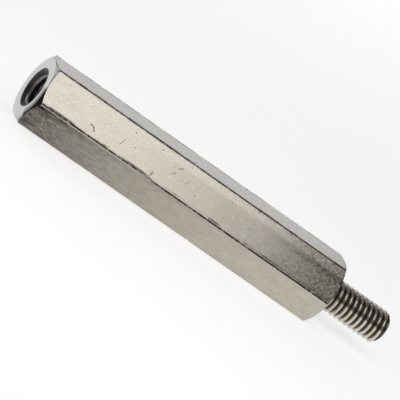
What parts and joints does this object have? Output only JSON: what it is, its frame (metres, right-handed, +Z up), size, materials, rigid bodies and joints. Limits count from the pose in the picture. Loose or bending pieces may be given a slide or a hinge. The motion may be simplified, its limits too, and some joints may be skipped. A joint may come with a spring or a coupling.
{
  "type": "hex standoff",
  "caption": "Male-female hex standoff: a hexagonal metal spacer with a tapped blind hole at one end and a threaded stud at the other, to hold a board or panel off its base.",
  "frame": {"origin": "on the axis, in the plane of the shoulder where the stud leaves the hexagonal body", "axes": "+X along the axis and out of the stud; +Z up, square to the flat that the standoff lies on; +Y towards a corner of the hexagon"},
  "size_m": [0.036, 0.0064, 0.0054],
  "materials": {
    "nickel_plated_brass": "nickel plate over drawn and turned brass, satin bright, with fine draw lines, handling marks and darkened edges"
  },
  "bodies": {
    "root": {"hex_standoff": "nickel_plated_brass"}
  },
  "joints": []
}
